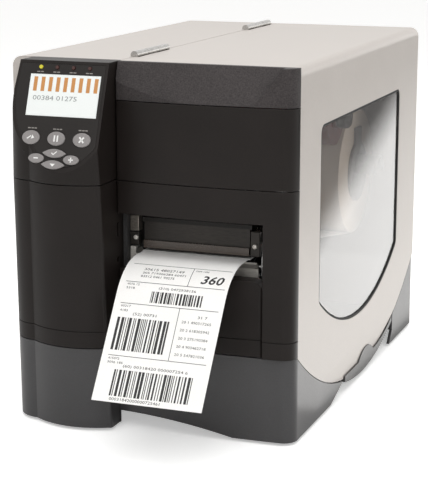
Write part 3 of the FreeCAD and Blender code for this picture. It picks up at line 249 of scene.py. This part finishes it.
def clear_window():
    """Clear polycarbonate sheet with the faint ripple of extrusion."""
    material, tree, out = blank("clear_polycarbonate_sheet")
    place = add(tree, "ShaderNodeTexCoord").outputs["Object"]
    ripple = add(tree, "ShaderNodeTexNoise", {"Scale": 1.0 / (60.0 * MM), "Detail": 1.0}, {"Vector": place})
    tint = add(tree, "ShaderNodeValToRGB", None, {"Fac": ripple.outputs[0]})
    tint.color_ramp.elements[0].color = linear("#f1eeee")
    tint.color_ramp.elements[1].color = linear("#f7f5f4")
    relief = add(tree, "ShaderNodeBump", {"Strength": 0.05, "Distance": 0.3 * MM},
                 {"Height": ripple.outputs[0]})
    skin = add(tree, "ShaderNodeBsdfPrincipled", {"Roughness": 0.0, "IOR": 1.58, "Transmission Weight": 1.0},
               {"Base Color": tint.outputs[0], "Normal": relief.outputs[0]})
    tree.links.new(skin.outputs[0], out.inputs["Surface"])
    return material


display_pale = display_glass()
lamp_tint = lamp_lenses()
window_clear = clear_window()

# Which finish each solid wears
finishes = {
    case_coat: ["door_shell", "electronics_cover"],
    # The rear panel and slot cover wear the case coat darkened by painted shade
    rear_painted_shade_coat: ["rear_panel", "option_slot_cover"],
    black_abs: ["column_cover", "control_housing", "door_front_panel", "door_exit_frame",
                "lower_front_cover"],
    visor_abs: ["door_visor"],
    base_abs: ["base_tray"],
    keypad_film: ["keypad_overlay"],
    display_pale: ["display_module"],
    lamp_tint: ["status_lamps"],
    key_grey: ["feed_button", "pause_button", "cancel_button", "minus_button", "plus_button", "select_button",
               "setup_button"],
    black_rubber: ["rubber_feet", "platen_rubber", "timing_belt"],
    bay_paint: ["centre_frame"],
    milled_alloy: ["mechanism_frame", "platen_pulley", "motor_pulley"],
    satin_nickel: ["tear_bar"],
    bright_steel: ["platen_shaft", "head_pivot", "rear_screws", "hinge_body_leaves",
                   "hinge_door_leaves"],
    acetal: ["platen_bushes", "window_clips"],
    plated_steel: ["stepper_motor", "power_supply", "roll_hanger"],
    anodised_black: ["printhead"],
    heater_glaze: ["printhead_strip"],
    carrier_abs: ["head_carrier", "media_sensor", "ribbon_supply_spindle", "ribbon_takeup_spindle"],
    lever_abs: ["head_lever", "roll_guide"],
    supply_film: ["ribbon_supply_roll"],
    takeup_film: ["ribbon_takeup_roll"],
    label_wound: ["label_roll"],
    label_stock: ["label_web", "printed_label"],
    card_tube: ["label_core"],
    board_mask: ["main_board", "control_board"],
    inlet_black: ["power_inlet", "power_switch"],
    tin_shell: ["data_ports"],
    window_clear: ["door_window"],
    grip_abs: ["door_grip"],
}
for finish, names in finishes.items():
    for name in names:
        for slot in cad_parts[name].material_slots:
            slot.material = finish


def piece(name, shape, material, body):
    """Turns a finished bmesh into a piece that rides on a body."""
    bmesh.ops.recalc_face_normals(shape, faces=shape.faces)
    mesh = bpy.data.meshes.new(name)
    shape.to_mesh(mesh)
    shape.free()
    mesh.materials.append(material)
    made = bpy.data.objects.new(name, mesh)
    scene.collection.objects.link(made)
    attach(made, body)


def bar(shape, x0, x1, y0, y1, z0, z1):
    """A block between two corners; returns its corners."""
    size = Matrix.Diagonal((x1 - x0, y1 - y0, z1 - z0, 1.0))
    middle = Matrix.Translation(((x0 + x1) / 2.0, (y0 + y1) / 2.0, (z0 + z1) / 2.0))
    return bmesh.ops.create_cube(shape, size=1.0, matrix=middle @ size)["verts"]


def outline(shape, points, z0, z1):
    """A flat plate with a given outline; returns its corners."""
    corners = [shape.verts.new((x, y, z0)) for x, y in points]
    face = shape.faces.new(corners)
    raised = bmesh.ops.extrude_face_region(shape, geom=[face])
    tops = [v for v in raised["geom"] if isinstance(v, bmesh.types.BMVert)]
    bmesh.ops.translate(shape, verts=tops, vec=(0.0, 0.0, z1 - z0))
    return corners + tops


def digits(shape, body, x0, x1, middle, height, z0, z1, shear=0.0, weight=0.0):
    """A line of plain figures stretched to a width, as a thin raised print."""
    words = bpy.data.curves.new("figures", "FONT")
    words.body = body
    words.size = 1.0
    words.resolution_u = 2
    words.shear = shear
    words.offset = weight
    words.extrude = 0.5
    holder = bpy.data.objects.new("figures", words)
    mesh = bpy.data.meshes.new_from_object(holder)
    bpy.data.objects.remove(holder)
    bpy.data.curves.remove(words)
    first = len(shape.verts)
    shape.from_mesh(mesh)
    bpy.data.meshes.remove(mesh)
    shape.verts.ensure_lookup_table()
    made = shape.verts[first:]
    low = [min(v.co[i] for v in made) for i in range(3)]
    high = [max(v.co[i] for v in made) for i in range(3)]
    goal = [(x0, x1), (middle - height / 2.0, middle + height / 2.0), (z0, z1)]
    for v in made:
        v.co = [g[0] + (c - a) / (b - a) * (g[1] - g[0]) for c, a, b, g in zip(v.co, low, high, goal)]


# Control panel: marks are drawn in millimetres across, up and out of the sloped face
panel = Matrix((
    (1.0, 0.0, 0.0, 0.0),
    (0.0, math.sin(PANEL_LEAN), -math.cos(PANEL_LEAN), DOOR_PLANE_Y - PANEL_TOP_FRONT),
    (0.0, math.cos(PANEL_LEAN), math.sin(PANEL_LEAN), CASE_TOP),
    (0.0, 0.0, 0.0, 1.0),
)) @ Matrix.Scale(MM, 4)
KEY_TOP = 1.2
MARK_SINK = 0.04
MARK_RISE = 0.06
ROUND_DOWN = 70.3
SIDE_DOWN = 88.6
LENS_STEP = 5.1
KEY_MIDDLE = -71.3
ROUND_PITCH = 24.8
SIDE_STEP = 17.0


def on_panel(shape):
    """Lays flat marks onto the sloped face."""
    bmesh.ops.transform(shape, matrix=panel, verts=shape.verts)
    return shape


def key_mark(name, x, down, draw):
    """A white symbol on one key, riding with it."""
    shape = bmesh.new()
    draw(shape)
    bmesh.ops.translate(shape, verts=shape.verts, vec=(x, -down, KEY_TOP))
    piece(name + "_mark", on_panel(shape), mark_white, name + "_key")


def turned_bar(shape, length, width, angle, x=0.0, y=0.0):
    """One stroke of a symbol."""
    verts = bar(shape, -length / 2.0, length / 2.0, -width / 2.0, width / 2.0, -MARK_SINK, MARK_RISE)
    bmesh.ops.rotate(shape, verts=verts, matrix=Matrix.Rotation(math.radians(angle), 3, "Z"))
    bmesh.ops.translate(shape, verts=verts, vec=(x, y, 0.0))


def feed_symbol(shape):
    turned_bar(shape, 4.6, 1.0, 35.0, -1.6, 0.0)
    outline(shape, [(0.4, -1.4), (3.6, -0.4), (1.6, 2.4)], -MARK_SINK, MARK_RISE)


def pause_symbol(shape):
    for x in (-1.5, 1.5):
        turned_bar(shape, 5.6, 1.4, 90.0, x)


def cancel_symbol(shape):
    for angle in (-48.0, 48.0):
        turned_bar(shape, 6.6, 1.5, angle)


def minus_symbol(shape):
    turned_bar(shape, 4.4, 1.1, 0.0)


def plus_symbol(shape):
    turned_bar(shape, 4.6, 1.1, 0.0)
    turned_bar(shape, 4.6, 1.1, 90.0)


def select_symbol(shape):
    turned_bar(shape, 2.4, 0.9, -45.0, -1.4, -0.5)
    turned_bar(shape, 4.6, 0.9, 42.0, 1.0, 0.2)


def setup_symbol(shape):
    outline(shape, [(-2.6, 0.9), (0.0, -1.8), (2.6, 0.9)], -MARK_SINK, MARK_RISE)


for name, x, down, draw in (
        ("feed", KEY_MIDDLE - ROUND_PITCH, ROUND_DOWN, feed_symbol),
        ("pause", KEY_MIDDLE, ROUND_DOWN, pause_symbol),
        ("cancel", KEY_MIDDLE + ROUND_PITCH, ROUND_DOWN, cancel_symbol),
        ("minus", KEY_MIDDLE - SIDE_STEP, SIDE_DOWN, minus_symbol),
        ("plus", KEY_MIDDLE + SIDE_STEP, SIDE_DOWN, plus_symbol),
        ("select", KEY_MIDDLE, SIDE_DOWN - LENS_STEP, select_symbol),
        ("setup", KEY_MIDDLE, SIDE_DOWN + LENS_STEP, setup_symbol)):
    key_mark(name, x, down, draw)

# Short plain dashes where the film names its lamps and keys
dashes = bmesh.new()
for i in range(4):
    x = -95.6 + 15.9 * i
    for start, end in ((-3.4, -0.4), (0.3, 3.2)):
        bar(dashes, x + start, x + end, -10.9, -10.0, -MARK_SINK, MARK_RISE)
for i in (-1, 0, 1):
    x = KEY_MIDDLE + ROUND_PITCH * i
    for start, end in ((-4.4, -1.6), (-0.9, 1.4), (2.0, 4.4)):
        bar(dashes, x + start, x + end, -62.2, -61.2, -MARK_SINK, MARK_RISE)
piece("film_dashes", on_panel(dashes), mark_grey, "case")

# Display content: plain amber bars above a line of grey figures
DISPLAY_FACE = -0.3
amber = bmesh.new()
for i in range(9):
    left = -101.0 + 7.4 * i
    bar(amber, left, left + 3.6, -28.0, -15.0, DISPLAY_FACE - MARK_SINK, DISPLAY_FACE + MARK_RISE)
piece("display_bars", on_panel(amber), amber_segment, "case")
readout = bmesh.new()
digits(readout, "00384 01275", -100.0, -57.0, -34.0, 4.2, DISPLAY_FACE - MARK_SINK, DISPLAY_FACE + MARK_RISE)
piece("display_figures", on_panel(readout), grey_segment, "case")

# Printed label: the print is laid out flat in millimetres, then bent onto the paper
label_low, label_high = [Vector(corner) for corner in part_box("printed_label")]
LABEL_FLAT = 15.0
LABEL_BEND = 54.75
LABEL_HANG = math.radians(55.5)
PRINT_SINK = 0.05
PRINT_RISE = 0.06
STEP = 4.0


def onto_label(u, s, rise):
    """Where a point across and along the flat label lies on the bent one."""
    x = label_low.x + u * MM
    if s <= LABEL_FLAT:
        return Vector((x, label_high.y - s * MM, label_high.z + rise * MM))
    turn = min((s - LABEL_FLAT) / LABEL_BEND, LABEL_HANG)
    rest = s - LABEL_FLAT - LABEL_BEND * turn
    out = Vector((0.0, -math.sin(turn), math.cos(turn)))
    along = Vector((0.0, -math.cos(turn), -math.sin(turn)))
    centre = Vector((x, label_high.y - LABEL_FLAT * MM, label_high.z - LABEL_BEND * MM))
    return centre + out * (LABEL_BEND + rise) * MM + along * rest * MM


def printed_bar(shape, u0, u1, s0, s1):
    """A printed rectangle, cut often enough along the label to bend with it."""
    verts = bar(shape, u0, u1, -s1, -s0, -PRINT_SINK, PRINT_RISE)
    edges = {e for v in verts for e in v.link_edges if abs(e.verts[0].co.y - e.verts[1].co.y) > STEP}
    if edges:
        bmesh.ops.subdivide_edges(shape, edges=list(edges), cuts=int((s1 - s0) / STEP), use_grid_fill=True)


def barcode(shape, u0, u1, s0, s1, modules, seed):
    """Upright bars of one to three modules, from a fixed draw."""
    draw = random.Random(seed)
    module = (u1 - u0) / modules
    at = 0
    while at < modules:
        wide = min(draw.choice((1, 1, 2, 3)), modules - at)
        printed_bar(shape, u0 + at * module, u0 + (at + wide) * module, s0, s1)
        at += wide + draw.choice((1, 1, 2, 2))


inked = bmesh.new()
RULE = 0.5
for s, right in ((35.0, 99.5), (57.0, 99.0), (78.0, 98.0), (126.5, 97.0)):
    printed_bar(inked, 6.0, right, s, s + RULE)
for u, s0, s1 in ((64.0, 35.0, 57.0), (62.0, 78.0, 126.5)):
    printed_bar(inked, u, u + RULE, s0, s1)
barcode(inked, 33.0, 81.0, 65.2, 75.8, 76, 3)
barcode(inked, 6.5, 57.2, 91.5, 121.8, 62, 11)
barcode(inked, 15.0, 88.0, 139.2, 163.0, 92, 23)
figure_lines = (
    ("30615 48027149", 18.6, 56.6, 41.8, 3.0),
    ("205 719306284 60471", 18.4, 59.3, 46.3, 2.4),
    ("83512 0461 90275", 18.0, 49.8, 50.4, 2.4),
    ("7204 1385", 66.5, 79.0, 38.7, 1.8),
    ("4076 12", 8.0, 19.6, 59.6, 2.0),
    ("5318", 8.0, 16.0, 63.4, 2.0),
    ("(310) 0472938156", 38.6, 73.6, 62.0, 3.0),
    ("60217", 7.0, 16.3, 80.7, 2.0),
    ("4183", 7.0, 14.3, 84.8, 2.0),
    ("(52) 00731", 20.0, 42.2, 87.9, 3.2),
    ("31 7", 80.5, 89.3, 85.1, 2.4),
    ("20 1 490317265", 66.6, 93.8, 90.4, 2.4),
    ("20 2 618305942", 66.6, 93.8, 97.8, 2.4),
    ("20 3 275190384", 66.6, 93.7, 105.3, 2.4),
    ("20 4 903462718", 66.5, 93.6, 112.8, 2.4),
    ("20 5 547821036", 66.4, 93.8, 120.2, 2.4),
    ("415072", 6.5, 17.0, 129.4, 2.0),
    ("3096 185", 6.5, 21.0, 133.0, 2.0),
    ("(60) 00318420 000007254 6", 22.0, 82.3, 135.9, 3.2),
    ("00031842000000725461", 16.0, 63.0, 165.6, 2.6),
)
for body, u0, u1, s, tall in figure_lines:
    digits(inked, body, u0, u1, -s, tall, -PRINT_SINK, PRINT_RISE)
digits(inked, "360", 75.0, 96.0, -48.6, 9.6, -PRINT_SINK, PRINT_RISE, 0.2, 0.02)
for v in inked.verts:
    v.co = onto_label(v.co.x, -v.co.y, v.co.z)
piece("label_print", inked, print_black, "case")

# Fittings beside the printhead: plated brackets, each with a bright pan-head screw
EXIT_FRONT_Y = DOOR_PLANE_Y + 16.0 * MM
HEAD_SEGMENTS = 24


def exit_block(name, x0, x1, depth, z0, z1, material, edge):
    """A plated block with broken edges, its front at the exit's bracket plane."""
    shape = bmesh.new()
    bar(shape, x0 * MM, x1 * MM, EXIT_FRONT_Y, EXIT_FRONT_Y + depth * MM, z0 * MM, z1 * MM)
    bmesh.ops.bevel(shape, geom=shape.edges[:], offset=edge * MM, affect="EDGES", segments=2, profile=0.5,
                    material=-1)
    piece(name, shape, material, "case")


def exit_screw(name, x, z, radius):
    """A domed screw head with a shallow round recess in its crown, seated on its bracket."""
    shape = bmesh.new()
    bmesh.ops.create_cone(shape, cap_ends=True, segments=HEAD_SEGMENTS, radius1=radius, radius2=radius,
                          depth=radius)
    rim = [e for e in shape.edges if all(v.co.z > 0.0 for v in e.verts)]
    bmesh.ops.bevel(shape, geom=rim, offset=radius * 0.45, affect="EDGES", segments=4, profile=0.5,
                    material=-1)
    crown = max(shape.faces, key=lambda f: f.calc_center_median().z)
    bmesh.ops.inset_individual(shape, faces=[crown], thickness=radius * 0.2)
    bmesh.ops.translate(shape, verts=crown.verts, vec=(0.0, 0.0, -radius * 0.3))
    bmesh.ops.scale(shape, vec=(MM, MM, MM), verts=shape.verts)
    bmesh.ops.rotate(shape, verts=shape.verts, matrix=Matrix.Rotation(math.radians(90.0), 3, "X"))
    bmesh.ops.translate(shape, verts=shape.verts, vec=(x * MM, EXIT_FRONT_Y - radius * 0.4 * MM, z * MM))
    piece(name, shape, satin_nickel, "case")


exit_block("head_bracket_left_upper", -25.6, -16.8, 9.0, 182.0, 197.0, bracket_zinc, 0.8)
exit_block("head_bracket_left_lower", -25.6, -16.8, 5.0, 169.0, 181.0, anodised_black, 0.6)
exit_block("head_bracket_right", 91.2, 99.8, 5.0, 167.0, 190.0, anodised_black, 0.6)
exit_block("web_guide_left", -25.6, -20.2, 6.0, 150.0, 167.5, satin_nickel, 0.7)
exit_screw("head_screw_left", -19.4, 176.4, 2.3)
exit_screw("head_screw_right", 95.6, 176.6, 2.3)

# Black gasket in the window's opening: a thin ring just inside the cut edge
WINDOW_FRONT = 70.0
WINDOW_REAR = 356.0
WINDOW_TOP = 280.0
WINDOW_LOW = 70.0
WINDOW_MIDDLE = 215.0
WINDOW_RADIUS = 255.9
WINDOW_CORNER = 9.0
CORNER_STEPS = 6
LOW_STEPS = 32
GASKET = 2.4
SHEET_FACE = 137.45
SHEET_OUT = 138.6


def window_ring(inset):
    """The opening's outline, drawn smaller by an inset, front frame millimetres."""
    front = WINDOW_FRONT + inset
    rear = WINDOW_REAR - inset
    top = WINDOW_TOP - inset
    radius = WINDOW_RADIUS - inset
    centre = WINDOW_LOW + WINDOW_RADIUS
    corner = WINDOW_CORNER - inset
    points = []
    for y, turn in ((front + corner, 180.0), (rear - corner, 90.0)):
        for i in range(CORNER_STEPS + 1):
            angle = math.radians(turn - 90.0 / CORNER_STEPS * i)
            points.append((y + corner * math.cos(angle), top - corner + corner * math.sin(angle)))
    for i in range(LOW_STEPS + 1):
        y = rear + (front - rear) * i / LOW_STEPS
        points.append((y, centre - math.sqrt(radius ** 2 - (y - WINDOW_MIDDLE) ** 2)))
    return points


def gasket_ring():
    """The gasket, from two outlines bridged and raised."""
    shape = bmesh.new()
    loops = []
    for inset in (0.15, GASKET):
        ring = [shape.verts.new((SHEET_FACE * MM, DOOR_PLANE_Y + y * MM, z * MM))
                for y, z in window_ring(inset)]
        loops.append([shape.edges.new((a, b)) for a, b in zip(ring, ring[1:] + ring[:1])])
    faces = bmesh.ops.bridge_loops(shape, edges=loops[0] + loops[1])["faces"]
    raised = bmesh.ops.extrude_face_region(shape, geom=faces, use_keep_orig=True)
    tops = [v for v in raised["geom"] if isinstance(v, bmesh.types.BMVert)]
    bmesh.ops.translate(shape, verts=tops, vec=((SHEET_OUT - SHEET_FACE) * MM, 0.0, 0.0))
    piece("window_gasket", shape, gasket_foam, "door")


gasket_ring()

# White studio floor, world and lamps
floor_shape = bmesh.new()
bmesh.ops.create_grid(floor_shape, x_segments=1, y_segments=1, size=6.0)
floor_mesh = bpy.data.meshes.new("studio_floor")
floor_shape.to_mesh(floor_mesh)
floor_shape.free()
floor = bpy.data.objects.new("studio_floor", floor_mesh)
scene.collection.objects.link(floor)
floor_paper, tree, out = blank("white_studio_paper")
place = add(tree, "ShaderNodeTexCoord").outputs["Object"]
fibre = add(tree, "ShaderNodeTexNoise", {"Scale": 30.0, "Detail": 3.0}, {"Vector": place})
shade = add(tree, "ShaderNodeValToRGB", None, {"Fac": fibre.outputs[0]})
shade.color_ramp.elements[0].color = linear("#fafaf9")
shade.color_ramp.elements[1].color = linear("#fdfdfc")
path = add(tree, "ShaderNodeLightPath")
seen = add(tree, "ShaderNodeMath", {"operation": "MULTIPLY", 1: 0.42}, {0: path.outputs["Is Camera Ray"]})
paper_skin = add(tree, "ShaderNodeBsdfPrincipled", {"Roughness": 0.8, "Emission Color": (1.0, 1.0, 1.0, 1.0)},
                 {"Base Color": shade.outputs[0], "Emission Strength": seen.outputs[0]})
tree.links.new(paper_skin.outputs[0], out.inputs["Surface"])
floor_mesh.materials.append(floor_paper)

world = bpy.data.worlds.new("white_studio")
scene.world = world
world.use_nodes = True
tree = world.node_tree
tree.nodes.clear()
path = add(tree, "ShaderNodeLightPath")
direct = add(tree, "ShaderNodeMath", {"operation": "MAXIMUM"},
             {0: path.outputs["Is Camera Ray"], 1: path.outputs["Is Transmission Ray"]})
shown = add(tree, "ShaderNodeMath", {"operation": "MAXIMUM"},
            {0: direct.outputs[0], 1: path.outputs["Is Glossy Ray"]})
level = add(tree, "ShaderNodeMapRange", {"To Min": 0.5, "To Max": 1.0}, {"Value": shown.outputs[0]})
sky = add(tree, "ShaderNodeBackground", {"Color": (1.0, 0.995, 0.985, 1.0)}, {"Strength": level.outputs[0]})
add(tree, "ShaderNodeOutputWorld", None, {"Surface": sky.outputs[0]})


def softbox(name, place, aim, size, power):
    """A large soft lamp aimed at a point."""
    data = bpy.data.lights.new(name, "AREA")
    data.shape = "SQUARE"
    data.size = size
    data.energy = power
    lamp = bpy.data.objects.new(name, data)
    lamp.location = place
    lamp.rotation_euler = (Vector(aim) - Vector(place)).to_track_quat("-Z", "Y").to_euler()
    scene.collection.objects.link(lamp)


softbox("overhead_box", (0.1, -0.3, 2.2), (0.0, 0.0, 0.2), 2.0, 24.0)
softbox("door_side_box", (2.0, -0.5, 1.1), (0.0, 0.0, 0.2), 1.4, 5.0)
softbox("front_box", (0.2, -1.9, 1.75), (0.0, -0.1, 0.15), 1.2, 13.0)


def studio_card(name, corners, code, strength, fade=None):
    """A card beside the set that only reflections see: white cards fill the window, a black one clears it."""
    shape = bmesh.new()
    shape.faces.new([shape.verts.new((x * MM, DOOR_PLANE_Y + y * MM, z * MM)) for x, y, z in corners])
    mesh = bpy.data.meshes.new(name)
    shape.to_mesh(mesh)
    shape.free()
    card = bpy.data.objects.new(name, mesh)
    scene.collection.objects.link(card)
    material, tree, out = blank(name + "_face")
    tone = add(tree, "ShaderNodeEmission", {"Color": linear(code), "Strength": strength})
    tree.links.new(tone.outputs[0], out.inputs["Surface"])
    if fade:
        place = add(tree, "ShaderNodeTexCoord").outputs["Object"]
        depth = add(tree, "ShaderNodeVectorMath", {"operation": "DOT_PRODUCT", 1: fade[0]}, {0: place})
        cover = add(tree, "ShaderNodeMapRange", {"interpolation_type": "SMOOTHSTEP", "From Min": fade[1] * MM,
                                                 "From Max": fade[2] * MM}, {"Value": depth.outputs["Value"]})
        clear = add(tree, "ShaderNodeBsdfTransparent")
        veil = add(tree, "ShaderNodeMixShader", None,
                   {0: cover.outputs[0], 1: clear.outputs[0], 2: tone.outputs[0]})
        tree.links.new(veil.outputs[0], out.inputs["Surface"])
    mesh.materials.append(material)
    card.visible_camera = False
    card.visible_diffuse = False
    card.visible_shadow = False
    card.visible_transmission = False


studio_card("white_floor_card", [(150, 100, 2), (800, 100, 2), (800, 760, 2), (150, 760, 2)], "#fffefc", 2.2)
studio_card("white_rear_card", [(120, 760, 2), (800, 760, 2), (800, 760, 420), (120, 760, 420)],
            "#fffefc", 2.2)
# The flag's slanted edge fades out over 44 mm, so the window's reflection ends softly as in the photograph
FLAG_NORMAL = (0.8743, 0.0, 0.4853)
studio_card("black_flag", [(316, 700, 3), (800, 700, 3), (800, 700, 330), (134, 700, 330)], "#100f0f", 0.0,
            (FLAG_NORMAL, 278.9, 322.9))
